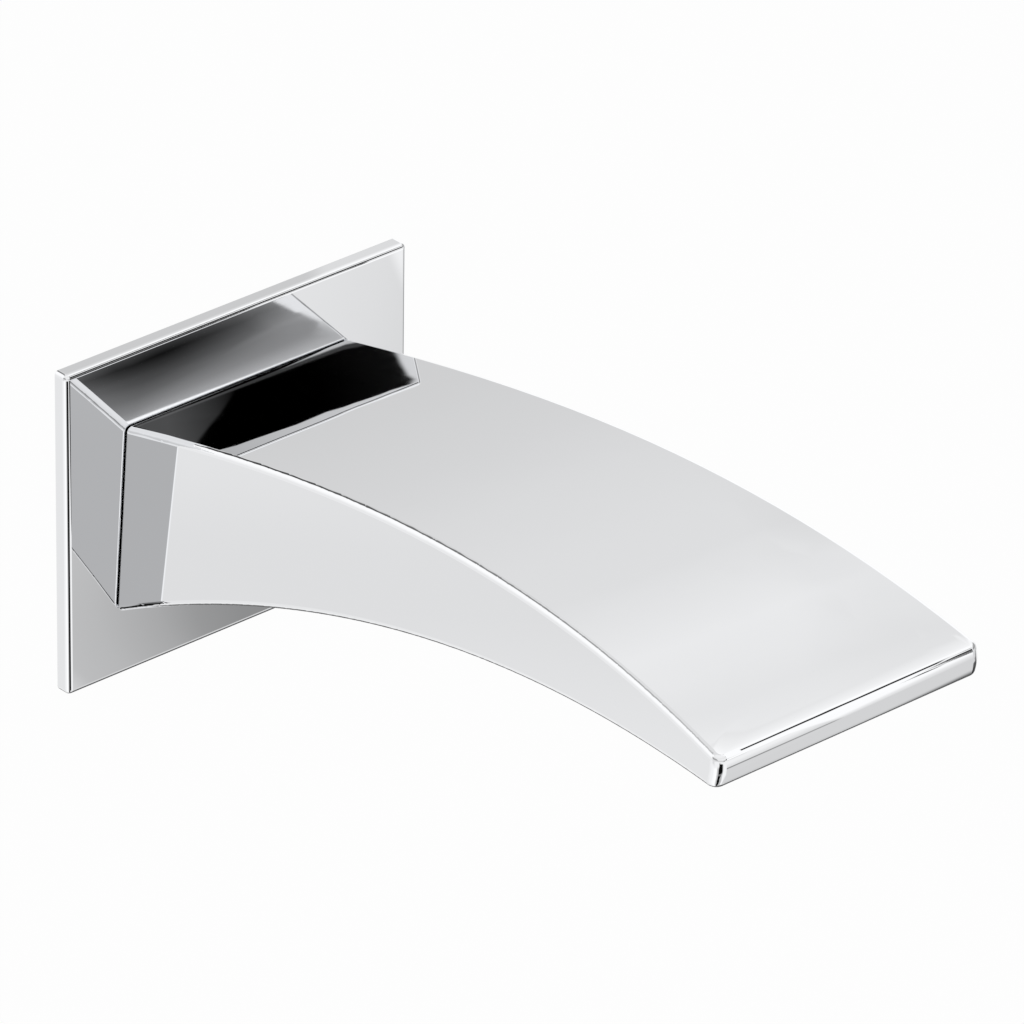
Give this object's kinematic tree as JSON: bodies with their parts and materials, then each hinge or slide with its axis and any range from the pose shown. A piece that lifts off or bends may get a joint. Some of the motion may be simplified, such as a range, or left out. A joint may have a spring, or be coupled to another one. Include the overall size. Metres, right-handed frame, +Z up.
{
  "type": "bath spout",
  "caption": "Wall mounted bath spout, an arching flat tipped chrome casting on a rectangular cover plate, with its inlet nipple and outlet insert.",
  "frame": {"origin": "on the inlet axis at the wall face, the back plane of the cover plate", "axes": "+Y into the wall along the inlet, the spout reaches out along -Y, +X to the right seen from the front, +Z up"},
  "size_m": [0.08, 0.1775, 0.065],
  "materials": {
    "body_chrome": "polished",
    "plate_chrome": "polished",
    "foam": "matt",
    "rubber_ring": "satin",
    "nipple_brass": "turned",
    "screw_steel": "satin",
    "insert_plastic": "moulded"
  },
  "bodies": {
    "root": {"spout_body": "body_chrome", "wall_plate": "plate_chrome", "wall_gasket": "foam", "plate_ring": "rubber_ring", "inlet_nipple": "nipple_brass", "nipple_rings": "rubber_ring", "grub_screw": "screw_steel", "flow_straightener": "insert_plastic", "straightener_gasket": "rubber_ring", "straightener_screws": "screw_steel"}
  },
  "joints": []
}
